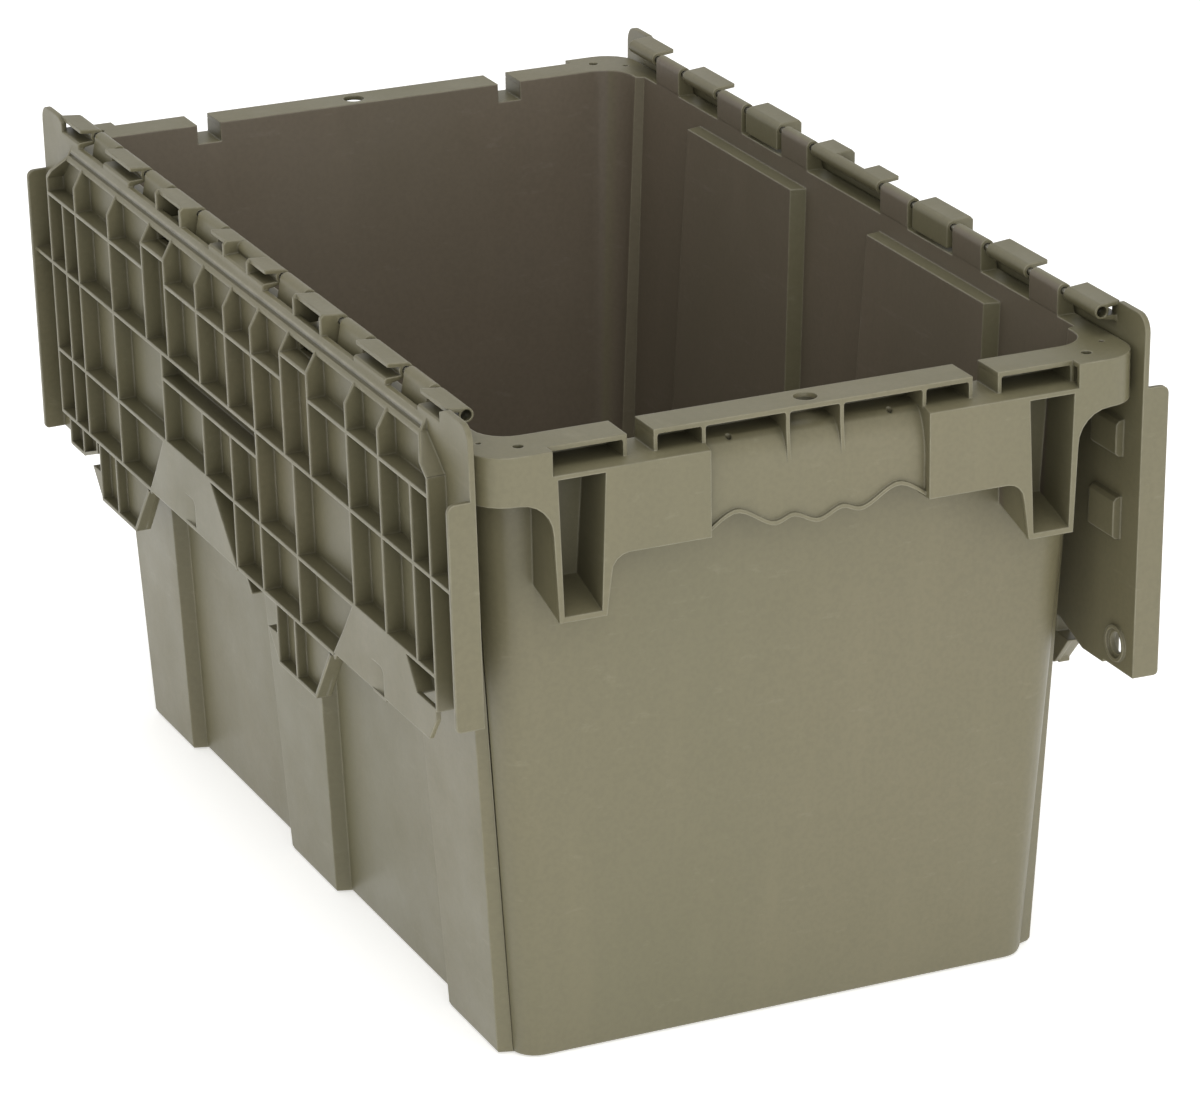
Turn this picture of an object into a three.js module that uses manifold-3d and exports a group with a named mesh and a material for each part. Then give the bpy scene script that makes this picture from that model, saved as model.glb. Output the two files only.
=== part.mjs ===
// Attached lid tote, 22 x 13 x 12 inch class, millimetres, +Z up.
// The origin is the middle of the underside; the hand-holds are on the -Y and +Y ends.
// Pieces: the tote body, two interlocking lid halves and the two steel hinge wires.
import * as THREE from 'three';
import { mergeVertices } from 'three/addons/utils/BufferGeometryUtils.js';
import Module from 'manifold-3d';

const wasm = await Module();
wasm.setup();

// ---------------------------------------------------------------- driving dimensions
const WALL = 2.4;                 // moulded wall thickness
const BASE_THICK = 3;             // floor of the tote
const LEDGE_Z = 298.8;            // inside ledge, where the drafted walls end
const RIM_Z = 307.7;              // top of the rim
const RIM_SKIRT_Z = 285;          // lower edge of the rim's outer lip
const RIM_HALF_X = 161.8;
const RIM_HALF_Y = 281;
const RIM_CORNER_R = 18;
const RIM_WALL = 2.3;

// plan of the drafted body: half widths, half lengths and where the side panels step in
const PLAN_BASE = {
  post: 137.4, panel: 130.2, corner: 130.6, end: 238, mid: 29, near: 170.4, far: 226.5, r: 12,
};
const PLAN_TOP = {
  post: 154.3, panel: 146.5, corner: 150, end: 257, mid: 42, near: 161, far: 234.5, r: 18,
};
const STEP_RUN = 2.2;             // run of each sloped step between post and panel
const CORNER_STEPS = 6;

// stacking bar and rim boxes along each end
const BAR_OUT_Y = 274.6;
const BAR_HALF = 77.9;
const SEGMENT_IN = 90.6;
const BLOCK_IN = 128.4;           // inner side of the solid looking corner blocks
const BAR_ROOF = 2.2;
const BAR_R = 3.2;
const POCKET_R = 1.4;
const SHELF_Z = 297.8;            // ledge that the bar stands on
const SHELF_LIP_Z = 296.2;
const SHELF_THICK = 2.2;
const BAR_WEBS = [13.2, 53.9];
const WEB_THICK = 1.8;
const BAR_HOLE = { y: 264.6, d: 11 };
const CORNER_HOLES = [{ x: 138.9, y: 268, d: 5 }, { x: 152.8, y: 257, d: 2.6 }];
const SHELF_HOLES = { x: 39.4, y: 268.6, d: 3 };

// apron, hand-hold and the two open channels on each end
const APRON_Z = 255.9;
const APRON_R = 8.5;
const HOLD_HALF = 53.4;
const HOLD_RECESS = 4.6;
const HOLD_TOP = { run: 11, rise: 22 };   // how far the panel's top curls back, and over what height
const BEAD = { thick: 1.9, proud: 1.5 };   // rolled edge along the finger grip
const CHANNEL = {
  top: 294.2, bottom: 228.2, inTop: 101.3, inBottom: 103.9, outTop: 128.4, outBottom: 126.4, wall: 2.3,
};
const CHANNEL_RISE = 9;           // how far the channel floor climbs towards the wall
const BLOCK_ARC_R = 16;
// crests and hollows of the finger grip's lower edge, from the side to the middle, as [x, z]
const GRIP_WAVE = [[-53.4, 256.7], [-39.4, 263.8], [-22.4, 255.3], [-11.7, 257.7], [0, 253.2]];

// hinge line
const HINGE_X = 155.8;
const HINGE_Z = 319.4;
const KNUCKLE_R = 3.5;
const BORE_R = 1.9;
const WIRE_R = 1.6;
const WIRE_HALF = 243;
const END_BORE_R = 2.6;           // wider mouth of the bore in the last finger
const TABS = [[40, 68.4], [114.5, 142.8], [190, 216.9]];   // tote knuckles, mirrored about the middle

// lid half: u is out from the hinge, w is up, both measured with the lid hanging plumb
const LEAN = THREE.MathUtils.degToRad(1);   // the hanging lid leans in until it meets the rim
const LID_U = 7.9;
const LID_T = 2.6;
const LID_OUT = LID_U + LID_T;
const LID_HALF = 277.8;
const RIB_DEEP = 8.7;
const RIB_SHALLOW = 5.1;
const RIB_T = 1.8;
const SKIRT_T = 2.2;
const SKIRT_DEEP = 10.6;
const SKIRT_TOP = 29.6;
const FRAME_HALF = 251.4;         // outside of the end walls of the rib field
const PLATE_TOP = 5.4;            // drop from the hinge line to the plate's hinge edge
const EAR_RISE = 4.3;
const LUG_DEEP = 4.2;
const EAR_IN = 247;
const EAR_R = 8;
const ROWS = [34.4, 71.6, 118.3, 152.2];   // drops of the long ribs
const HOOD_ROW = 21.8;            // short ribs under the boxed fingers
const SLOT_ROW = 85;              // second rib of the middle slot
const RIB_TOP = 11.7;             // drop where the upright ribs start
const FREE_EDGE = 153.9;
const LONG_EDGE = 169.8;          // free edge of the far end zone, which laps over the other lid
const SHORT_EDGE = 134.8;         // free edge of the near end zone, under the other lid
const TOOTH_TIP = 187.9;
const SHELF_T = 2.2;
const SCOOP = { places: [52.5, -188.5], top: 137, wide: 14.5, deep: 2, floor: 1, r: 4 };
const SEAL = { y: 262, drop: 157.8, hole: 5.2, ring: 8.8, lip: 1.5 };   // seal hole and its raised rim

// upright ribs as [y, first drop, last drop]
const UPRIGHTS = [
  [-230.5, ROWS[0], ROWS[2]], [-194.5, RIB_TOP, ROWS[2]], [-156.5, RIB_TOP, ROWS[2]],
  [-109.5, RIB_TOP, ROWS[1]], [-86.5, ROWS[1], ROWS[3]], [-76.5, RIB_TOP, ROWS[1]],
  [-38.5, RIB_TOP, ROWS[3]], [-3.5, RIB_TOP, ROWS[1]], [-3.5, SLOT_ROW, ROWS[3]],
  [34.5, RIB_TOP, ROWS[1]], [34.5, SLOT_ROW, ROWS[2]], [78.5, RIB_TOP, ROWS[1]],
  [89.5, ROWS[1], ROWS[2]], [109.5, RIB_TOP, ROWS[1]], [158.5, RIB_TOP, ROWS[3]],
  [208.5, RIB_TOP, ROWS[3]], [228.5, ROWS[0], ROWS[3]],
];
// ribs along the lid as [drop, from y, to y]
const ROW_RIBS = [
  [HOOD_ROW, -109.5, -76.5], [HOOD_ROW, 78.5, 109.5], [ROWS[0], -FRAME_HALF, -109.5],
  [ROWS[0], -76.5, 78.5], [ROWS[0], 109.5, FRAME_HALF], [ROWS[1], -LID_HALF + 1, LID_HALF - 1],
  [SLOT_ROW, -38.5, 90.4], [ROWS[2], -FRAME_HALF, FRAME_HALF], [ROWS[3], 117, FRAME_HALF],
  [ROWS[3], -127, -3],
];

// free edge of the lid from the far end to the near end, as [y, drop]
const TOOTH_A = [[206, 163.5], [206, 172], [217.5, 172.6], [206, 186.8], [204.5, TOOTH_TIP],
  [155, TOOTH_TIP], [131, 157.1]];
const TOOTH_B = [[-11.4, 163.5], [-43.5, 163.5], [-43.5, 172], [-32, 172.6],
  [-43.5, 186.8], [-45, TOOTH_TIP], [-92, TOOTH_TIP], [-114, 157.1], [-114, FREE_EDGE]];
const RECESS_A = [[117.5, FREE_EDGE], [92.5, ROWS[2]], [30.5, ROWS[2]], [-2.5, FREE_EDGE]];
const RECESS_B = [[-127.5, FREE_EDGE], [-155.5, ROWS[2]], [-215.5, ROWS[2]], [-228, SHORT_EDGE]];
const LAP = [[LID_HALF, LONG_EDGE], [251, LONG_EDGE], [250, 171.4], [231, 171.4], [209, 163.5]];

const PLASTIC = { color: 0x8b8470, roughness: 0.5, metalness: 0 };
const STEEL = { color: 0xa9abad, roughness: 0.35, metalness: 1 };

// ---------------------------------------------------------------- helpers
const SIDES = [-1, 1];

function solid(geometry) {
  const bare = geometry.index ? geometry.toNonIndexed() : geometry.clone();
  bare.deleteAttribute('normal');
  bare.deleteAttribute('uv');
  const merged = mergeVertices(bare, 1e-4);
  const vertProperties = new Float32Array(merged.attributes.position.array);
  const triVerts = new Uint32Array(merged.index.array);
  return new wasm.Manifold(new wasm.Mesh({ numProp: 3, vertProperties, triVerts }));
}

function union(parts) {
  return parts.reduce((sum, part) => sum.add(part));
}

function cut(body, tools) {
  return tools.reduce((rest, tool) => rest.subtract(tool), body);
}

function box(x0, x1, y0, y1, z0, z1) {
  const [dx, dy, dz] = [Math.abs(x1 - x0), Math.abs(y1 - y0), Math.abs(z1 - z0)];
  const geometry = new THREE.BoxGeometry(dx, dy, dz);
  return solid(geometry.translate((x0 + x1) / 2, (y0 + y1) / 2, (z0 + z1) / 2));
}

function extruded(points, depth) {
  const shape = new THREE.Shape(points.map(([a, b]) => new THREE.Vector2(a, b)));
  return new THREE.ExtrudeGeometry(shape, { depth, bevelEnabled: false, steps: 1 });
}

// a prism along Y whose outline is given as [x, z]
function prismY(points, y0, y1) {
  const geometry = extruded(points, y1 - y0).rotateX(Math.PI / 2);
  return solid(geometry.translate(0, y1, 0));
}

// a prism along X whose outline is given as [y, z]
function prismX(points, x0, x1) {
  const turn = new THREE.Matrix4().makeBasis(
    new THREE.Vector3(0, 1, 0), new THREE.Vector3(0, 0, 1), new THREE.Vector3(1, 0, 0));
  return solid(extruded(points, x1 - x0).applyMatrix4(turn).translate(x0, 0, 0));
}

// a prism along Z whose outline is given as [x, y]
function prismZ(points, z0, z1) {
  return solid(extruded(points, z1 - z0).translate(0, 0, z0));
}

function roundBar(axis, radius, from, to, centre, sides = 16) {
  const geometry = new THREE.CylinderGeometry(radius, radius, to - from, sides);
  if (axis === 'z') geometry.rotateX(Math.PI / 2);
  if (axis === 'x') geometry.rotateZ(Math.PI / 2);
  const middle = (from + to) / 2;
  const place = { x: [middle, ...centre], y: [centre[0], middle, centre[1]], z: [...centre, middle] }[axis];
  return solid(geometry.translate(...place));
}

function arc(cx, cy, r, start, end, steps) {
  return Array.from({ length: steps + 1 }, (_, i) => {
    const a = THREE.MathUtils.degToRad(start + (end - start) * i / steps);
    return [cx + r * Math.cos(a), cy + r * Math.sin(a)];
  });
}

function roundedRectangle(hx, hy, r, steps = CORNER_STEPS) {
  return [
    ...arc(hx - r, hy - r, r, 0, 90, steps),
    ...arc(r - hx, hy - r, r, 90, 180, steps),
    ...arc(r - hx, r - hy, r, 180, 270, steps),
    ...arc(hx - r, r - hy, r, 270, 360, steps),
  ];
}

const mirrored = (points, sx, sy = 1) => points.map(([a, b]) => [a * sx, b * sy]);

// a closed skin through outlines that all have the same number of points
function loft(sections) {
  const count = sections[0].points.length;
  const position = [];
  const at = (level, i) => [...sections[level].points[i % count], sections[level].z];
  for (let level = 0; level + 1 < sections.length; level++) {
    for (let i = 0; i < count; i++) {
      const [a, b, c, d] = [at(level, i), at(level, i + 1), at(level + 1, i + 1), at(level + 1, i)];
      position.push(...a, ...b, ...c, ...a, ...c, ...d);
    }
  }
  for (const level of [0, sections.length - 1]) {
    const contour = sections[level].points.map(([x, y]) => new THREE.Vector2(x, y));
    for (const [i, j, k] of THREE.ShapeUtils.triangulateShape(contour, [])) {
      const ring = level === 0 ? [k, j, i] : [i, j, k];
      position.push(...ring.flatMap((corner) => at(level, corner)));
    }
  }
  const geometry = new THREE.BufferGeometry();
  geometry.setAttribute('position', new THREE.Float32BufferAttribute(position, 3));
  return solid(geometry);
}

// ---------------------------------------------------------------- plan outlines of the tote
function planAt(z) {
  const t = z / LEDGE_Z;
  const mix = (key) => PLAN_BASE[key] + (PLAN_TOP[key] - PLAN_BASE[key]) * t;
  return Object.fromEntries(Object.keys(PLAN_BASE).map((key) => [key, mix(key)]));
}

// the outline at height z, moved in by inset; stepped gives the recessed side panels
function outline(z, inset, stepped = true) {
  const p = planAt(z);
  const [post, corner, end] = [p.post - inset, p.corner - inset, p.end - inset];
  const panel = stepped ? p.panel - inset : post;
  const [mid, near, far, r] = [p.mid - inset, p.near + inset, p.far - inset, Math.max(p.r - inset, 2)];
  const quarter = [
    [post, mid], [panel, mid + STEP_RUN], [panel, near - STEP_RUN], [post, near], [post, far],
    [corner, far + STEP_RUN], ...arc(corner - r, end - r, r, 0, 90, CORNER_STEPS),
  ];
  const back = [...quarter].reverse();
  return [...quarter, ...mirrored(back, -1), ...mirrored(quarter, -1, -1), ...mirrored(back, 1, -1)];
}

const section = (z, inset, stepped) => ({ z, points: outline(z, inset, stepped) });

// ---------------------------------------------------------------- tote body
const ABOVE_RIM = RIM_Z + 1;

function shellOutside() {
  const foot = [section(0, 2.4), { z: 0.8, points: outline(0, 0.7) }, { z: 2.6, points: outline(2.6, 0) }];
  const walls = loft([...foot, section(LEDGE_Z - WALL, 0)]);
  const collar = loft([section(LEDGE_Z - WALL - 0.2, 0, false), section(RIM_Z, 0, false)]);
  return walls.add(collar);
}

function cavity() {
  const lower = loft([
    { z: BASE_THICK, points: outline(BASE_THICK, WALL + 3) },
    { z: BASE_THICK + 3, points: outline(BASE_THICK + 3, WALL) },
    section(LEDGE_Z, WALL),
  ]);
  const upper = loft([section(LEDGE_Z - 0.1, WALL, false), section(ABOVE_RIM, WALL, false)]);
  return lower.add(upper);
}

function rimCap() {
  const outer = prismZ(roundedRectangle(RIM_HALF_X, RIM_HALF_Y, RIM_CORNER_R), RIM_SKIRT_Z, RIM_Z);
  const inner = roundedRectangle(RIM_HALF_X - RIM_WALL, RIM_HALF_Y - RIM_WALL, RIM_CORNER_R - RIM_WALL);
  const hollow = prismZ(inner, RIM_SKIRT_Z - 1, RIM_Z - RIM_WALL);
  const [from, to] = [BAR_OUT_Y, RIM_HALF_Y + 1];
  const ends = SIDES.map((s) => box(-BLOCK_IN, BLOCK_IN, s * from, s * to, 0, ABOVE_RIM));
  return cut(outer, [hollow, ...ends]);
}

// the wall that stands across each end at the very front: block arcs, channel mouths and aprons
function endFace(s) {
  const c = CHANNEL;
  const half = [
    [HOLD_HALF, SHELF_LIP_Z], [HOLD_HALF, APRON_Z],
    ...arc(c.inTop - APRON_R, APRON_Z - APRON_R, APRON_R, 90, 0, 4),
    [c.inBottom, c.bottom], [c.outBottom, c.bottom],
    ...arc(BLOCK_IN + BLOCK_ARC_R, RIM_SKIRT_Z - BLOCK_ARC_R, BLOCK_ARC_R, 180, 90, 6),
    [BLOCK_IN + BLOCK_ARC_R, RIM_SKIRT_Z + 2], [BLOCK_IN + 1, RIM_Z - 1], [BLOCK_IN, RIM_Z - 1],
    [BLOCK_IN, SHELF_LIP_Z],
  ];
  const [y0, y1] = s < 0 ? [-RIM_HALF_Y, RIM_WALL - RIM_HALF_Y] : [RIM_HALF_Y - RIM_WALL, RIM_HALF_Y];
  return union(SIDES.map((side) => prismY(mirrored(half, side), y0, y1)));
}

// an open-fronted channel beside the apron; grow 0 is its outside and grow -wall its inside
function channelPrism(side, s, grow, reach) {
  const c = CHANNEL;
  const floor = c.bottom - grow;
  const points = [[c.inTop - grow, c.top], [c.inBottom - grow, floor], [c.outBottom + grow, floor],
    [c.outTop + grow, c.top]];
  const [from, to] = s < 0 ? [-reach, -PLAN_TOP.end + 4] : [PLAN_TOP.end - 4, reach];
  return prismY(mirrored(points, side), from, to);
}

function channels(s) {
  const c = CHANNEL;
  const y = (depth) => s * (RIM_HALF_Y - depth);
  const climb = [[y(0), c.bottom - 1], [y(29), c.bottom - 1], [y(29), c.bottom + CHANNEL_RISE]];
  const slope = prismX([...climb, [y(0), c.bottom]], -BLOCK_IN - 5, BLOCK_IN + 5);
  const inClimb = climb.map(([a, b]) => [a, b + c.wall]);
  const inSlope = prismX([...inClimb, [y(-1), c.bottom + c.wall]], -BLOCK_IN - 5, BLOCK_IN + 5);
  const walls = SIDES.map((side) => channelPrism(side, s, 0, RIM_HALF_Y).subtract(slope));
  const mouths = SIDES.map((side) => channelPrism(side, s, -c.wall, RIM_HALF_Y + 1).subtract(inSlope));
  return { walls: union(walls), mouths: union(mouths) };
}

function shelf(s) {
  const y = (value) => s * value;
  const points = [
    [y(PLAN_TOP.end - 1), SHELF_Z], [y(BAR_OUT_Y), SHELF_Z], [y(RIM_HALF_Y), SHELF_LIP_Z],
    [y(RIM_HALF_Y), SHELF_LIP_Z - SHELF_THICK], [y(PLAN_TOP.end - 1), SHELF_Z - SHELF_THICK - 0.4],
  ];
  return prismX(points, -BLOCK_IN - 1, BLOCK_IN + 1);
}

// the smooth finger grip edge from side to side
function gripEdge() {
  const crests = [...GRIP_WAVE, ...mirrored(GRIP_WAVE.slice(0, -1), -1).reverse()];
  const curve = new THREE.SplineCurve(crests.map(([x, z]) => new THREE.Vector2(x, z)));
  return curve.getPoints(crests.length * 5).map((point) => [point.x, point.y]);
}

// the hand-hold panel as [depth, z]: upright below, then a quarter ellipse back to the shelf
function holdCurve(inset) {
  const { run, rise } = HOLD_TOP;
  const centre = RIM_HALF_Y - HOLD_RECESS - run;
  return arc(0, 0, 1, 0, 90, 6).map(([a, b]) => {
    return [centre + (run - inset) * a, SHELF_Z - rise + (rise - inset) * b];
  });
}

// the recessed panel of the hand-hold, its rolled grip edge, side cheeks and gussets
function handHold(s) {
  const face = RIM_HALF_Y - HOLD_RECESS;
  const ordered = (a, b) => (s < 0 ? [-b, -a] : [a, b]);
  const outer = [[face, CHANNEL.bottom], ...holdCurve(0)];
  const inner = [[face - WALL, CHANNEL.bottom], ...holdCurve(WALL)].reverse();
  const sheet = prismX(mirrored([...outer, ...inner], s), -HOLD_HALF - 1, HOLD_HALF + 1);
  const edge = gripEdge();
  const [reach, below, side] = [HOLD_HALF + 3, CHANNEL.bottom - 5, GRIP_WAVE[0][1]];
  const under = [[-reach, side], ...edge, [reach, side], [reach, below], [-reach, below]];
  const panel = sheet.subtract(prismY(under, ...ordered(PLAN_TOP.end, RIM_HALF_Y + 1)));
  const raisedEdge = edge.map(([x, z]) => [x, z + BEAD.thick]).reverse();
  const bead = prismY([...edge, ...raisedEdge], ...ordered(face - 1, face + BEAD.proud));
  const cheekPoints = mirrored([[PLAN_TOP.end - 3, SHELF_Z - 1], [PLAN_TOP.end - 3, APRON_Z + 8],
    [face - 8, APRON_Z], [RIM_HALF_Y, APRON_Z], [RIM_HALF_Y, SHELF_LIP_Z - 0.5]], s);
  const cheeks = SIDES.map((end) => {
    const [a, b] = end < 0 ? [-HOLD_HALF - WALL, -HOLD_HALF] : [HOLD_HALF, HOLD_HALF + WALL];
    return prismX(cheekPoints, a, b);
  });
  const gussetFoot = SHELF_Z - HOLD_TOP.rise;
  const gussetPoints = mirrored([[face - HOLD_TOP.run, RIM_Z - 1], [BAR_OUT_Y, RIM_Z - 1],
    [BAR_OUT_Y, SHELF_Z], [face, gussetFoot], ...holdCurve(1.2)], s);
  const gussets = SIDES.map((end) => {
    const middle = end * BAR_WEBS[0];
    return prismX(gussetPoints, middle - WEB_THICK / 2, middle + WEB_THICK / 2);
  });
  return { solids: union([panel, bead, ...cheeks, ...gussets]), clear: holdClearance(s) };
}

// what must be cut from the shelf so that the hand-hold's rounded top shows
function holdClearance(s) {
  const [face, foot] = [RIM_HALF_Y - HOLD_RECESS, SHELF_Z - HOLD_TOP.rise - 2];
  const corner = [...holdCurve(0).reverse(), [face, foot], [RIM_HALF_Y + 1, foot],
    [RIM_HALF_Y + 1, SHELF_Z + 3], [face - HOLD_TOP.run, SHELF_Z + 3]];
  return prismX(mirrored(corner, s), -HOLD_HALF, HOLD_HALF);
}

// an upright outline in X and Z with its two upper corners rounded
function archway(x0, x1, z0, z1, leftR, rightR) {
  return [[x0, z0], [x1, z0], ...arc(x1 - rightR, z1 - rightR, rightR, 0, 90, 4),
    ...arc(x0 + leftR, z1 - leftR, leftR, 90, 180, 4)];
}

// the bar and the rim boxes beside it: a roof on upright webs, open to the outside
function stackingBar(s) {
  const [inner, outer] = [PLAN_TOP.end - 1, BAR_OUT_Y];
  const across = (points, reach) => {
    const [a, b] = s < 0 ? [-outer - reach, -inner] : [inner, outer + reach];
    return prismY(points, a, b);
  };
  const half = WEB_THICK / 2;
  const pocket = (x0, x1) => {
    return archway(x0 + half, x1 - half, SHELF_Z - 2, RIM_Z - BAR_ROOF, POCKET_R, POCKET_R);
  };
  const webs = [BAR_HALF - half, BAR_WEBS[1], BAR_WEBS[0]];
  const stations = [...webs.map((x) => -x), ...[...webs].reverse()];
  const bar = across(archway(-BAR_HALF, BAR_HALF, SHELF_Z - 1, RIM_Z, BAR_R, BAR_R), 0);
  const openings = stations.slice(1).map((x, i) => across(pocket(stations[i], x), 1));
  const boxes = archway(SEGMENT_IN, BLOCK_IN + 1, SHELF_Z - 1, RIM_Z, BAR_R, 0.5);
  const boxPocket = pocket(SEGMENT_IN + half, BLOCK_IN - 1 + half);
  for (const side of SIDES) openings.push(across(mirrored(boxPocket, side), 1));
  return cut(union([bar, ...SIDES.map((side) => across(mirrored(boxes, side), 0))]), openings);
}

function endHoles(s) {
  const holes = [roundBar('z', BAR_HOLE.d / 2, RIM_Z - 5, ABOVE_RIM, [0, s * BAR_HOLE.y], 20)];
  for (const side of SIDES) {
    for (const hole of CORNER_HOLES) {
      holes.push(roundBar('z', hole.d / 2, RIM_Z - 5, ABOVE_RIM, [side * hole.x, s * hole.y], 12));
    }
    holes.push(roundBar('z', SHELF_HOLES.d / 2, SHELF_Z - 6, SHELF_Z + 2,
      [side * SHELF_HOLES.x, s * SHELF_HOLES.y], 10));
    const notch = [side * BAR_HALF, side * SEGMENT_IN];
    holes.push(box(notch[0], notch[1], s * (PLAN_TOP.end - 8), s * (BAR_OUT_Y + 1), SHELF_Z, ABOVE_RIM));
  }
  return holes;
}

// a tote knuckle: a hollow upstand with a round top that carries the wire
function tabProfile(side) {
  const points = [[-KNUCKLE_R, -12.5], ...arc(0, 0, KNUCKLE_R, 180, -10, 8), [5.8, -12.5]];
  return points.map(([u, w]) => [side * (HINGE_X + u), HINGE_Z + w]);
}

function tabCore(side) {
  const points = [[-0.9, -15], [-0.9, -5.6], [1.6, -5.6], [3.2, -15]];
  return points.map(([u, w]) => [side * (HINGE_X + u), HINGE_Z + w]);
}

function eachTab(make) {
  return SIDES.flatMap((side) => TABS.flatMap(([a, b]) => [make(side, a, b), make(side, -b, -a)]));
}

function toteBody() {
  let outer = rimCap();
  const cuts = [cavity()];
  for (const s of SIDES) {
    const { walls, mouths } = channels(s);
    const hold = handHold(s);
    const skin = endFace(s).add(shelf(s)).subtract(hold.clear);
    outer = union([outer, skin, walls, stackingBar(s), hold.solids]).subtract(mouths);
    cuts.push(...endHoles(s));
  }
  const tabs = eachTab((side, a, b) => prismY(tabProfile(side), a, b));
  outer = union([outer, shellOutside(), ...tabs]);
  cuts.push(...eachTab((side, a, b) => prismY(tabCore(side), a + WALL, b - WALL)));
  cuts.push(...SIDES.map((side) => roundBar('y', BORE_R, -230, 230, [side * HINGE_X, HINGE_Z], 12)));
  return cut(outer, cuts);
}

// ---------------------------------------------------------------- lid half
// Built about the hinge line for the -X side: out from the hinge is -X, so u becomes -x.
const lidPrism = (points, y0, y1) => prismY(points.map(([u, w]) => [-u, w]), y0, y1);
const slab = (u0, u1, y0, y1, drop0, drop1) => box(-u1, -u0, y0, y1, -drop1, -drop0);

// the plate as [y, drop below the hinge line]
function plateOutline() {
  return [
    [LID_HALF, PLATE_TOP], ...LAP, ...TOOTH_A, [117.5 + 8, FREE_EDGE], ...RECESS_A, ...TOOTH_B, ...RECESS_B,
    [-LID_HALF, SHORT_EDGE], [-LID_HALF, PLATE_TOP],
  ];
}

// turns [y, drop] outlines into a slab between two distances from the hinge line
function lidSheet(points, u0, u1) {
  return prismX(points.map(([y, drop]) => [y, -drop]), -u1, -u0);
}

function ear(s) {
  const outlinePoints = [[EAR_IN, PLATE_TOP + 1], [EAR_IN, -2], [EAR_IN + 6, -EAR_RISE],
    ...arc(LID_HALF - EAR_R, EAR_R - EAR_RISE, EAR_R, -90, 0, 5), [LID_HALF, PLATE_TOP + 1]];
  return lidSheet(outlinePoints.map(([y, drop]) => [s * y, drop]), LID_U, LID_OUT);
}

function ribAlongY(drop, y0, y1, depth = RIB_DEEP) {
  return slab(LID_OUT - 0.5, LID_OUT + depth, y0, y1, drop - RIB_T / 2, drop + RIB_T / 2);
}

function ribAcross(y, drop0, drop1, depth = RIB_DEEP) {
  return slab(LID_OUT - 0.5, LID_OUT + depth, y - RIB_T / 2, y + RIB_T / 2, drop0, drop1);
}

// an upright wall on a slanting line between two points given as [y, drop]
function slantWall([y0, d0], [y1, d1], u0 = LID_OUT - 0.5, u1 = LID_OUT + RIB_DEEP) {
  const length = Math.hypot(y1 - y0, d1 - d0);
  const [ny, nd] = [-(d1 - d0) / length * RIB_T / 2, (y1 - y0) / length * RIB_T / 2];
  return lidSheet([[y0 + ny, d0 + nd], [y1 + ny, d1 + nd], [y1 - ny, d1 - nd], [y0 - ny, d0 - nd]], u0, u1);
}

function ribField() {
  const ribs = ROW_RIBS.map(([drop, y0, y1]) => ribAlongY(drop, y0, y1));
  ribs.push(...UPRIGHTS.map(([y, d0, d1]) => ribAcross(y, d0, d1)));
  const wall = FRAME_HALF - RIB_T / 2;
  ribs.push(ribAcross(wall, 25.5, ROWS[3] + RIB_T / 2), ribAcross(-wall, 25.5, SHORT_EDGE));
  ribs.push(slantWall([wall, 26], [wall - 19, RIB_TOP]), slantWall([-wall, 26], [19 - wall, RIB_TOP]));
  return union(ribs);
}

// shallower ribs under the teeth and the end zone, which lie over the other lid's shelves
function toothRibs() {
  const u1 = LID_OUT + RIB_SHALLOW;
  const t = RIB_T / 2;
  const edge = TOOTH_TIP - t;
  const tooth = (far, near, foot) => [
    ribAlongY(edge, near, far, RIB_SHALLOW),
    ribAcross(far - t, ROWS[3], TOOTH_TIP, RIB_SHALLOW),
    ribAcross((far + near) / 2, ROWS[3], edge, RIB_SHALLOW),
    slantWall([near + t, edge], [foot, 158], LID_OUT - 0.5, u1),
    lidSheet([[far - t, 172], [far + 11.5, 172.6], [far - t, 186.8]], LID_U, u1),
  ];
  return union([
    ...tooth(206, 155, 131.6), ...tooth(-43.5, -92, -112.6),
    ribAlongY(171.4 - t, 230, 250, RIB_SHALLOW), slantWall([230.4, 170.5], [209, 162.7], LID_OUT - 0.5, u1),
    ribAcross(FRAME_HALF - t, ROWS[3], 171, RIB_SHALLOW), ribAcross(230.5, ROWS[3], 171, RIB_SHALLOW),
    ribAcross(209.4, ROWS[3], 163.5, RIB_SHALLOW), slantWall(RECESS_A[3], TOOTH_B[0], LID_OUT - 0.5, u1),
  ]);
}

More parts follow.
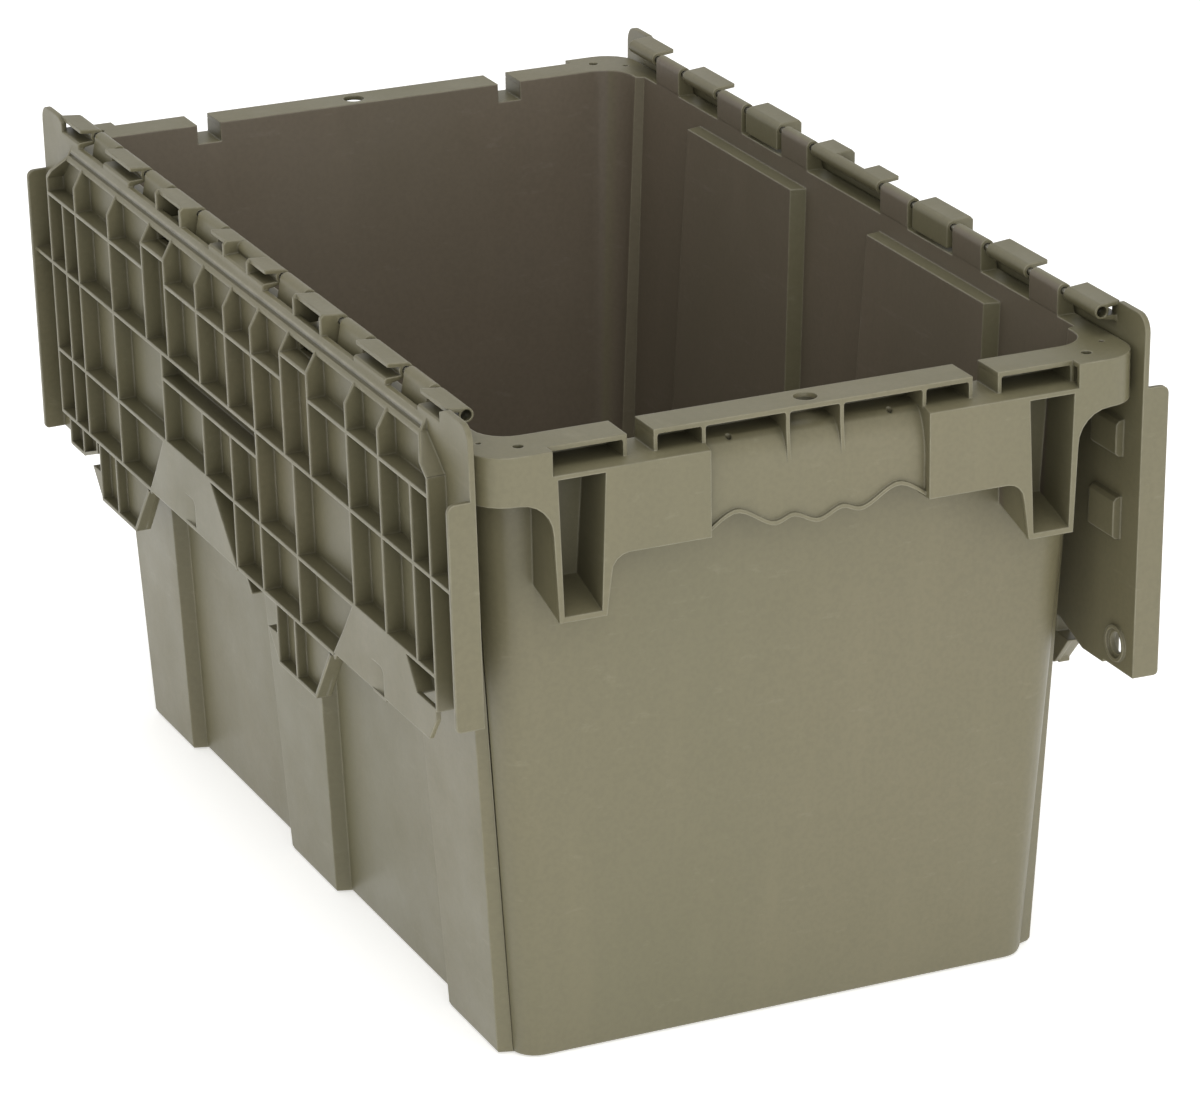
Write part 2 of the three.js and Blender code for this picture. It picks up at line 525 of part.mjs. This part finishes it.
// the flat shelf at the foot of each recess, with its finger scoop and sloping side walls
function recessShelves() {
  const [u0, u1] = [LID_OUT + RIB_DEEP - SHELF_T, LID_OUT + RIB_DEEP];
  const foot = FREE_EDGE - 1;
  const scooped = (points, y, top) => {
    const { wide, deep, r, floor } = SCOOP;
    const mouth = [[y + wide, foot - 2], [y + wide, top], ...arc(y + r, top + r, r, -90, -180, 5),
      [y, foot - 2]];
    const ramp = [[y, -u1 - 1], [y + wide, -u1 - 1], [y + wide, -u1], [y, -u1 + deep]];
    const along = prismZ(ramp.map(([a, b]) => [b, a]), -foot, 1 - top);
    const backing = slab(u1 - deep - floor, u1 - 0.5, y - floor, y + wide, top - floor, foot);
    const scoop = lidSheet(mouth, u1 - deep - 1, u1 + 2).intersect(along);
    return lidSheet(points, u0, u1).add(backing).subtract(scoop);
  };
  const shortShelf = [[-127, 151.4], [-155.5, ROWS[2]], [-215.5, ROWS[2]], [-228, SHORT_EDGE - 1],
    [-250, SHORT_EDGE - 1], [-250, 139], [-240.5, 151.4]];
  return union([
    scooped([[118.5, foot], [92.5, ROWS[2]], [30.5, ROWS[2]], [-3, foot]], SCOOP.places[0], SCOOP.top),
    scooped(shortShelf, SCOOP.places[1], SCOOP.top),
    slantWall(RECESS_A[0], RECESS_A[1], LID_U), slantWall(RECESS_A[2], RECESS_A[3], LID_U),
    slantWall(RECESS_B[0], RECESS_B[1], LID_U), slantWall(RECESS_B[2], RECESS_B[3], LID_U),
  ]);
}

function hingeStrip() {
  const points = [[LID_OUT - 0.5, -PLATE_TOP], [LID_OUT, -PLATE_TOP], [LID_OUT + 3.5, -11.7],
    [LID_OUT + 3.5, -13.5], [LID_OUT + 1.6, -13.5], [LID_OUT - 0.5, -9.5]];
  const groove = [[LID_OUT + 0.6, -7.6], [LID_OUT + 3.6, -10.6],
    [LID_OUT + 1.7, -10.4], [LID_OUT + 0.3, -8.2]];
  const [from, to] = [-FRAME_HALF + 19, FRAME_HALF - 19];
  return lidPrism(points, from, to).subtract(lidPrism(groove, from + 2, to - 2));
}

// removes the corner of every rib beside the hinge, so the ribs rise gently from the strip
function ribBevel() {
  const points = [[LID_OUT + 3.5, -11.7], [LID_OUT + RIB_DEEP + 0.5, -21.9],
    [LID_OUT + RIB_DEEP + 2, -21.9], [LID_OUT + RIB_DEEP + 2, -3],
    [LID_OUT + 0.02, -3], [LID_OUT + 0.02, -PLATE_TOP]];
  return lidPrism(points, -FRAME_HALF - 2, FRAME_HALF + 2);
}

function skirts() {
  const makeSkirt = (s, foot) => {
    const [u0, u1, r] = [LID_OUT - 1, LID_OUT + SKIRT_DEEP, 3.6];
    const points = [[u0, -SKIRT_TOP], ...arc(u1 - r, -SKIRT_TOP - r, r, 90, 0, 4),
      ...arc(u1 - 2, -foot + 2, 2, 0, -90, 3), [u0, -foot]];
    const [a, b] = s > 0 ? [LID_HALF - SKIRT_T, LID_HALF] : [-LID_HALF, SKIRT_T - LID_HALF];
    return lidPrism(points, a, b);
  };
  return [makeSkirt(1, LONG_EDGE), makeSkirt(-1, SHORT_EDGE)];
}

// hinge fingers -------------------------------------------------------------
const FLANGE = [[-0.8, 3.4], [8.9, 4.5], [8.9, 2.5], [0, 1.4]];
const WEB = [[0, -1.5], [3, -2.1], [9.6, -2.3], [LID_OUT, -3.1], [LID_OUT, -6.2],
  [LID_U, -6.2], [6.9, -4.8], [0, -3.4]];
const BOX_PANEL = [[-KNUCKLE_R, 0], [-KNUCKLE_R, -9.8], [-1.3, -9.8], [-1.3, 0]];
const BOX_CHEEK = [[-KNUCKLE_R, 0], [-0.8, 3.4], [8.9, 4.5], [LID_OUT, 2.8], [LID_OUT, -8.4], [LID_U, -8.4],
  [4.2, -9.8], [-KNUCKLE_R, -9.8]];
const SHORT_CHEEK = [[0, 3.2], [8.9, 4.5], [LID_OUT, 2.8], [LID_OUT, -6], [LID_U, -6], [0, -3.2]];

function knuckle(y0, y1) {
  return roundBar('y', KNUCKLE_R, y0, y1, [0, 0], 16);
}

function tongue(y0, y1) {
  return union([knuckle(y0, y1), lidPrism(FLANGE, y0, y1), lidPrism(WEB, y0, y1)]);
}

function windowBox(y0, y1) {
  const t = 2.2;
  return union([knuckle(y0, y1), lidPrism(FLANGE, y0, y1), lidPrism(BOX_PANEL, y0, y1),
    lidPrism(BOX_CHEEK, y0, y0 + t), lidPrism(BOX_CHEEK, y1 - t, y1)]);
}

function middleFinger() {
  const [inner, outer, t] = [14.6, 35.3, 2];
  return union([knuckle(-outer, outer), lidPrism(WEB, -outer, outer),
    lidPrism(FLANGE, inner, outer), lidPrism(FLANGE, -outer, -inner),
    lidPrism(SHORT_CHEEK, inner, inner + t), lidPrism(SHORT_CHEEK, -inner - t, -inner)]);
}

function fingers() {
  const parts = [middleFinger()];
  for (const s of SIDES) {
    const span = (a, b) => (s > 0 ? [a, b] : [-b, -a]);
    parts.push(windowBox(...span(73.8, 109)));
    parts.push(tongue(...span(148.2, 184.7)));
    parts.push(tongue(...span(222.2, 251.8)));
  }
  return union(parts);
}

// raised lugs on the smooth face, which locate a tote stacked on the closed lids
function stackingLugs() {
  const lugs = [];
  for (const s of SIDES) {
    for (const [top, foot] of [[49, 67], [86, 107]]) {
      const points = [[LID_U + 0.5, -top], [LID_U - 2.6, -top - 0.6], [LID_U - LUG_DEEP, -top - 2.4],
        [LID_U - LUG_DEEP, -foot + 2], [LID_U - 2.6, -foot + 0.4], [LID_U + 0.5, -foot]];
      const [a, b] = s > 0 ? [239, 262] : [-262, -239];
      lugs.push(lidPrism(points, a, b));
    }
  }
  return lugs;
}

function lidHalf() {
  const plate = lidSheet(plateOutline(), LID_U, LID_OUT);
  const windows = SIDES.map((s) => box(-LID_OUT - 1, -LID_U + 1, s * 80, s * 108, -20.4, -14));
  const sealBar = (radius, from, to) => roundBar('x', radius, from, to, [SEAL.y, -SEAL.drop], 24);
  const sealRim = sealBar(SEAL.ring, -LID_U - 1, -LID_U + SEAL.lip)
    .subtract(sealBar(SEAL.ring - 1.7, -LID_U, -LID_U + 3));
  const sealHole = sealBar(SEAL.hole, -LID_OUT - 1, -LID_U + 2);
  const beams = union([ribField(), hingeStrip()]).subtract(ribBevel());
  const sum = union([plate, ear(1), ear(-1), beams, toothRibs(), recessShelves(), ...skirts(),
    fingers(), ...stackingLugs(), sealRim]);
  const bore = roundBar('y', BORE_R, -260, 260, [0, 0], 12);
  const ends = [
    roundBar('y', END_BORE_R, WIRE_HALF + 1, 253, [0, 0], 14),
    roundBar('y', END_BORE_R, -253, -WIRE_HALF - 1, [0, 0], 14),
  ];
  return cut(sum, [bore, ...ends, ...windows, sealHole]);
}

// ---------------------------------------------------------------- scene graph
function node(name, body, look) {
  const { vertProperties, triVerts } = body.getMesh();
  const geometry = new THREE.BufferGeometry();
  geometry.setAttribute('position', new THREE.BufferAttribute(Float32Array.from(vertProperties), 3));
  geometry.setIndex(new THREE.BufferAttribute(Uint32Array.from(triVerts), 1));
  geometry.computeVertexNormals();
  const mesh = new THREE.Mesh(geometry, new THREE.MeshStandardMaterial(look));
  mesh.name = name;
  return mesh;
}

function hingeWire(side) {
  const wire = roundBar('y', WIRE_R, -WIRE_HALF, WIRE_HALF, [side * HINGE_X, HINGE_Z], 12);
  return node(side < 0 ? 'hinge_wire_left' : 'hinge_wire_right', wire, STEEL);
}

// the right lid is the left one turned half a turn about Z
function hungLid(side) {
  const lid = node(side < 0 ? 'lid_left' : 'lid_right', lidHalf(), PLASTIC);
  lid.rotation.y = -LEAN;
  const half = new THREE.Group();
  half.add(lid);
  half.position.set(side * HINGE_X, 0, HINGE_Z);
  half.rotation.z = side < 0 ? 0 : Math.PI;
  return half;
}

const tote = new THREE.Group();
tote.add(node('tote_body', toteBody(), PLASTIC));
for (const side of SIDES) tote.add(hingeWire(side), hungLid(side));

export default tote;
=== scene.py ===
import math

import bpy
from mathutils import Matrix, Vector


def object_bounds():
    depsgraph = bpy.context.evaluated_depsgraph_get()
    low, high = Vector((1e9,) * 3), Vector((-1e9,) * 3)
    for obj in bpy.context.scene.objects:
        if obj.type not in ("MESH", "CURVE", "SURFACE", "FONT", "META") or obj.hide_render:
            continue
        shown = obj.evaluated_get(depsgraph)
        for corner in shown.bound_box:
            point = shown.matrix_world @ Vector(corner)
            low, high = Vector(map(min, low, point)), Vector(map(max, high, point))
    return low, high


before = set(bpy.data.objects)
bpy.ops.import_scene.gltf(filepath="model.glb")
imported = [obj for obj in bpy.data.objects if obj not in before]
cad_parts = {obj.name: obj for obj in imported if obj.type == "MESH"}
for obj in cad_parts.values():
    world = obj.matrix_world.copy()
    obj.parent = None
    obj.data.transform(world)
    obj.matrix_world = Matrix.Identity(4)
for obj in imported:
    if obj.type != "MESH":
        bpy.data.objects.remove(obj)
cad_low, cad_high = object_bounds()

# ---------------------------------------------------------------- camera, lights and colours
CAMERA_AZIMUTH = -24.09       # degrees round the tote; 0 looks along +Y
CAMERA_ELEVATION = 20.84
CAMERA_ROLL = -0.87
CAMERA_DISTANCE = 2.6456
CAMERA_TARGET = Vector((0.0133, -0.012, 0.1454))
CAMERA_LENS = 161.9           # mm, on a sensor 36 mm wide
SENSOR_WIDTH = 36
CAMERA_REACH = 50             # metres, far clipping

WORLD_COLOUR = (1.0, 0.995, 0.975)
WORLD_STRENGTH = 0.74
FLOOR_COLOUR = (0.93, 0.93, 0.925)
FLOOR_GLOW = 0.46             # the floor is a light table, lit from below
FLOOR_ROUGHNESS = 0.9
FLOOR_SIZE = 14.0
FLOOR_GAP = 0.0002            # keeps the floor clear of the tote's underside
# name, place, size of the soft box, watts
SOFT_BOXES = [
    ("key_light", (-0.9, -2.6, 1.3), 1.8, 22),
    ("fill_light", (1.3, -2.6, 0.7), 1.2, 8),
    ("top_light", (-0.2, -0.5, 2.6), 1.6, 16),
]

OLIVE = (0.140, 0.129, 0.073)
OLIVE_WARM = (0.154, 0.137, 0.079)
# lighter olive for scuffs, and for worn edges that also carry a painted highlight
OLIVE_WORN_AND_HIGHLIGHT = (0.300, 0.280, 0.200)
INSIDE_SHADE_TINT = (0.96, 0.88, 1.10)   # painted shade: the walls that look into the tote are made browner and darker
INSIDE_HALF_Y = 0.2565        # the inside of the end walls reaches this far
# painted shade: colour multiplied by this in corners and recesses
PAINTED_SHADE_TINT = (0.54, 0.54, 0.52)
PAINTED_SHADE_REACH = 0.035           # how far the painted shade in corners and recesses reaches
PAINTED_SHADE_SAMPLES = 4
EDGE_RADIUS = 0.0013
EDGE_SAMPLES = 8
TOTE_ROUGHNESS = 0.42
LID_ROUGHNESS = 0.41
PLASTIC_IOR = 1.49
STEEL_DARK = (0.50, 0.50, 0.49)
STEEL_LIGHT = (0.72, 0.71, 0.69)

SMOOTH_ANGLE = 34             # degrees; facets that meet at less are shaded as one curve
WELD_DISTANCE = 0.00001
WIRE_NODES = ("hinge_wire_left", "hinge_wire_right")


# ---------------------------------------------------------------- node helpers
# sockets of a Mix node that mixes colours
MIX_FIRST, MIX_SECOND, MIX_RESULT = 6, 7, 2


class Nodes:
    """A new material and short calls that add nodes to it and link them."""

    def __init__(self, name):
        self.material = bpy.data.materials.new(name)
        self.material.use_nodes = True
        self.tree = self.material.node_tree
        self.shader = self.tree.nodes["Principled BSDF"]
        self.place = self.add("ShaderNodeTexCoord").outputs["Object"]

    def add(self, kind, **values):
        node = self.tree.nodes.new(kind)
        for key, value in values.items():
            setattr(node, key, value)
        return node

    def link(self, source, target):
        self.tree.links.new(source, target)

    def stretched(self, scale):
        """The place on the piece, scaled along each axis."""
        mapping = self.add("ShaderNodeMapping")
        mapping.inputs["Scale"].default_value = scale
        self.link(self.place, mapping.inputs["Vector"])
        return mapping.outputs["Vector"]

    def noise(self, scale, detail=2.0, rough=0.5, where=None):
        node = self.add("ShaderNodeTexNoise")
        node.inputs["Scale"].default_value = scale
        node.inputs["Detail"].default_value = detail
        node.inputs["Roughness"].default_value = rough
        self.link(where or self.place, node.inputs["Vector"])
        return node.outputs["Fac"]

    def spread(self, value, from_low, from_high, to_low=0.0, to_high=1.0):
        """value mapped from one range to another, and held within it."""
        node = self.add("ShaderNodeMapRange")
        for socket, number in zip(node.inputs[1:5], (from_low, from_high, to_low, to_high)):
            socket.default_value = number
        self.link(value, node.inputs["Value"])
        return node.outputs["Result"]

    def mix(self, factor, first, second):
        node = self.add("ShaderNodeMix", data_type="RGBA")
        self.link(factor, node.inputs["Factor"])
        for socket, colour in ((node.inputs[MIX_FIRST], first), (node.inputs[MIX_SECOND], second)):
            if isinstance(colour, tuple):
                socket.default_value = (*colour, 1)
            else:
                self.link(colour, socket)
        return node.outputs[MIX_RESULT]

    def rounded_edges(self):
        """The normal with every edge rounded, and how near each point is to an edge."""
        bevel = self.add("ShaderNodeBevel", samples=EDGE_SAMPLES)
        bevel.inputs["Radius"].default_value = EDGE_RADIUS
        flat = self.add("ShaderNodeNewGeometry").outputs["Normal"]
        turned = self.add("ShaderNodeVectorMath", operation="DOT_PRODUCT")
        self.link(bevel.outputs["Normal"], turned.inputs[0])
        self.link(flat, turned.inputs[1])
        return bevel.outputs["Normal"], self.spread(turned.outputs["Value"], 0.995, 0.86)

    def openness(self):
        """How much of the sky within a short reach each point sees: low in corners and recesses."""
        reach = self.add("ShaderNodeAmbientOcclusion", samples=PAINTED_SHADE_SAMPLES, only_local=True)
        reach.inputs["Distance"].default_value = PAINTED_SHADE_REACH
        return reach.outputs["AO"]

    def times(self, first, second):
        node = self.add("ShaderNodeMath", operation="MULTIPLY")
        self.link(first, node.inputs[0])
        self.link(second, node.inputs[1])
        return node.outputs["Value"]

    def tinted(self, factor, colour, tint):
        """colour times tint where factor is 1."""
        node = self.add("ShaderNodeMix", data_type="RGBA", blend_type="MULTIPLY")
        self.link(factor, node.inputs["Factor"])
        self.link(colour, node.inputs[MIX_FIRST])
        node.inputs[MIX_SECOND].default_value = (*tint, 1)
        return node.outputs[MIX_RESULT]

    def inside_walls(self):
        """1 on the faces of the walls that look into the tote, 0 on all others."""
        normal = self.add("ShaderNodeTexCoord").outputs["Normal"]
        outward = self.add("ShaderNodeVectorMath", operation="MULTIPLY")
        self.link(self.place, outward.inputs[0])
        self.link(normal, outward.inputs[1])
        facing = self.add("ShaderNodeSeparateXYZ")
        self.link(outward.outputs["Vector"], facing.inputs[0])
        place = self.add("ShaderNodeSeparateXYZ")
        self.link(self.place, place.inputs[0])
        depth = self.add("ShaderNodeMath", operation="ABSOLUTE")
        self.link(place.outputs["Y"], depth.inputs[0])
        either = self.add("ShaderNodeMath", operation="MAXIMUM")
        self.link(self.spread(facing.outputs["X"], -0.05, -0.12), either.inputs[0])
        self.link(self.spread(facing.outputs["Y"], -0.19, -0.225), either.inputs[1])
        short_of_ends = self.spread(depth.outputs["Value"], INSIDE_HALF_Y + 0.002, INSIDE_HALF_Y)
        return self.times(either.outputs["Value"], short_of_ends)

    def bump(self, height, distance, strength=1.0, under=None):
        node = self.add("ShaderNodeBump")
        node.inputs["Strength"].default_value = strength
        node.inputs["Distance"].default_value = distance
        self.link(height, node.inputs["Height"])
        if under:
            self.link(under, node.inputs["Normal"])
        return node.outputs["Normal"]


def scaled(colour, factor):
    return tuple(channel * factor for channel in colour)


def moulded_plastic(name, base, warm, roughness, has_inside=False):
    """Satin polypropylene: cloudy pigment, mould grain, sink waves, scuffs, painted shade in recesses
    and inside the tote, and worn edges with a painted highlight.
    """
    n = Nodes(name)
    rounded, edge = n.rounded_edges()

    clouds = n.noise(5.0, 3.0)
    colour = n.mix(n.spread(clouds, 0.35, 0.65), base, warm)
    speckle = n.noise(420.0, 2.0)
    colour = n.mix(n.spread(speckle, 0.40, 0.64, 0, 0.35), colour, scaled(base, 0.86))
    streaks = n.noise(9.0, 4.0, 0.6, n.stretched((5.0, 5.0, 0.7)))
    colour = n.mix(n.spread(streaks, 0.52, 0.78, 0, 0.30), colour, scaled(warm, 1.16))
    scuffs = n.noise(60.0, 6.0, 0.7, n.stretched((1.0, 0.35, 2.6)))
    colour = n.mix(n.spread(scuffs, 0.60, 0.78, 0, 0.22), colour, OLIVE_WORN_AND_HIGHLIGHT)
    # painted shade: the walls that look into the tote are tinted browner and darker
    if has_inside:
        colour = n.tinted(n.inside_walls(), colour, INSIDE_SHADE_TINT)

    openness = n.openness()
    # painted shade: corners and recesses darkened by ambient occlusion
    colour = n.tinted(n.spread(openness, 0.85, 0.15), colour, PAINTED_SHADE_TINT)
    # worn edges, partly a painted highlight: open edges lightened in patches
    patches = n.spread(n.noise(70.0, 4.0, 0.7), 0.35, 0.7, 0.25, 0.85)
    outer_edge = n.spread(openness, 0.45, 0.8)
    colour = n.mix(n.times(n.times(edge, patches), outer_edge), colour, OLIVE_WORN_AND_HIGHLIGHT)
    n.link(colour, n.shader.inputs["Base Color"])

    smears = n.noise(22.0, 5.0, 0.6)
    dullness = n.spread(smears, 0.3, 0.7, roughness - 0.05, roughness + 0.07)
    n.link(dullness, n.shader.inputs["Roughness"])
    waves = n.bump(n.noise(16.0, 1.0), 0.0011, 0.5, rounded)
    grain = n.bump(n.noise(1500.0, 2.0), 0.00005, 0.5, waves)
    n.link(grain, n.shader.inputs["Normal"])
    n.shader.inputs["IOR"].default_value = PLASTIC_IOR
    return n.material


def drawn_steel(name):
    """Bright drawn wire with fine lines along its length."""
    n = Nodes(name)
    lines = n.noise(40.0, 4.0, 0.6, n.stretched((60.0, 1.0, 60.0)))
    n.link(n.mix(lines, STEEL_DARK, STEEL_LIGHT), n.shader.inputs["Base Color"])
    n.link(n.spread(lines, 0.3, 0.7, 0.22, 0.40), n.shader.inputs["Roughness"])
    n.link(n.bump(lines, 0.00003, 0.5), n.shader.inputs["Normal"])
    n.shader.inputs["Metallic"].default_value = 1.0
    return n.material


# ---------------------------------------------------------------- the CAD nodes
def smooth_shading():
    """A node group that shades facets as one curve wherever they meet at a shallow angle."""
    tree = bpy.data.node_groups.new("smooth_shading", "GeometryNodeTree")
    for way in ("INPUT", "OUTPUT"):
        tree.interface.new_socket("Geometry", in_out=way, socket_type="NodeSocketGeometry")
    start, end = tree.nodes.new("NodeGroupInput"), tree.nodes.new("NodeGroupOutput")
    plain = tree.nodes.new("GeometryNodeRemoveAttribute")
    plain.inputs["Name"].default_value = "custom_normal"
    angle = tree.nodes.new("GeometryNodeInputMeshEdgeAngle")
    sharp = tree.nodes.new("FunctionNodeCompare")
    sharp.operation = "GREATER_THAN"
    sharp.inputs["B"].default_value = math.radians(SMOOTH_ANGLE)
    faces = tree.nodes.new("GeometryNodeSetShadeSmooth")
    edges = tree.nodes.new("GeometryNodeSetShadeSmooth")
    edges.domain = "EDGE"
    edges.inputs["Shade Smooth"].default_value = False
    for source, target in (
        (start.outputs[0], plain.inputs["Geometry"]),
        (plain.outputs["Geometry"], faces.inputs["Geometry"]),
        (faces.outputs["Geometry"], edges.inputs["Geometry"]),
        (angle.outputs["Unsigned Angle"], sharp.inputs["A"]),
        (sharp.outputs["Result"], edges.inputs["Selection"]),
        (edges.outputs["Geometry"], end.inputs[0]),
    ):
        tree.links.new(source, target)
    return tree


def dress(piece, material, shading):
    """Give a CAD node its only material and smooth the shading of its facets."""
    piece.data.materials.clear()
    piece.data.materials.append(material)
    weld = piece.modifiers.new("weld", "WELD")
    weld.merge_threshold = WELD_DISTANCE
    piece.modifiers.new("smooth", "NODES").node_group = shading


def dress_nodes():
    tote = moulded_plastic("tote_plastic", OLIVE, OLIVE_WARM, TOTE_ROUGHNESS, has_inside=True)
    lid = moulded_plastic("lid_plastic", scaled(OLIVE, 0.97), scaled(OLIVE_WARM, 0.98), LID_ROUGHNESS)
    steel = drawn_steel("wire_steel")
    shading = smooth_shading()
    for name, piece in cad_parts.items():
        if name in WIRE_NODES:
            dress(piece, steel, shading)
        elif name == "tote_body":
            dress(piece, tote, shading)
        else:
            dress(piece, lid, shading)


# ---------------------------------------------------------------- stage, lights and camera
def make_floor():
    n = Nodes("stage_floor")
    colour = n.mix(n.noise(2.0), FLOOR_COLOUR, scaled(FLOOR_COLOUR, 1.02))
    n.link(colour, n.shader.inputs["Base Color"])
    n.shader.inputs["Roughness"].default_value = FLOOR_ROUGHNESS
    n.shader.inputs["Emission Color"].default_value = (1, 1, 1, 1)
    n.shader.inputs["Emission Strength"].default_value = FLOOR_GLOW
    mesh = bpy.data.meshes.new("stage_floor")
    half = FLOOR_SIZE / 2
    level = cad_low.z - FLOOR_GAP
    corners = [(-half, -half, level), (half, -half, level), (half, half, level), (-half, half, level)]
    mesh.from_pydata(corners, [], [(0, 1, 2, 3)])
    mesh.materials.append(n.material)
    floor = bpy.data.objects.new("stage_floor", mesh)
    bpy.context.scene.collection.objects.link(floor)


def aimed(place, target, roll=0.0):
    """A matrix at place that looks at target along its own -Z."""
    turn = (Vector(target) - Vector(place)).to_track_quat("-Z", "Y").to_matrix().to_4x4()
    return Matrix.Translation(place) @ turn @ Matrix.Rotation(math.radians(roll), 4, "Z")


def make_lights():
    world = bpy.data.worlds.new("studio")
    world.use_nodes = True
    background = world.node_tree.nodes["Background"]
    background.inputs["Color"].default_value = (*WORLD_COLOUR, 1)
    background.inputs["Strength"].default_value = WORLD_STRENGTH
    bpy.context.scene.world = world
    for name, place, size, watts in SOFT_BOXES:
        light = bpy.data.lights.new(name, "AREA")
        light.shape = "SQUARE"
        light.size = size
        light.energy = watts
        lamp = bpy.data.objects.new(name, light)
        lamp.matrix_world = aimed(place, CAMERA_TARGET)
        bpy.context.scene.collection.objects.link(lamp)


def make_camera():
    azimuth, elevation = math.radians(CAMERA_AZIMUTH), math.radians(CAMERA_ELEVATION)
    level = math.cos(elevation)
    back = Vector((math.sin(azimuth) * level, -math.cos(azimuth) * level, math.sin(elevation)))
    lens = bpy.data.cameras.new("camera")
    lens.lens = CAMERA_LENS
    lens.sensor_width = SENSOR_WIDTH
    lens.clip_end = CAMERA_REACH
    camera = bpy.data.objects.new("camera", lens)
    camera.matrix_world = aimed(CAMERA_TARGET + back * CAMERA_DISTANCE, CAMERA_TARGET, CAMERA_ROLL)
    bpy.context.scene.collection.objects.link(camera)
    bpy.context.scene.camera = camera


dress_nodes()
make_floor()
make_lights()
make_camera()
bpy.context.scene.view_settings.view_transform = "Standard"
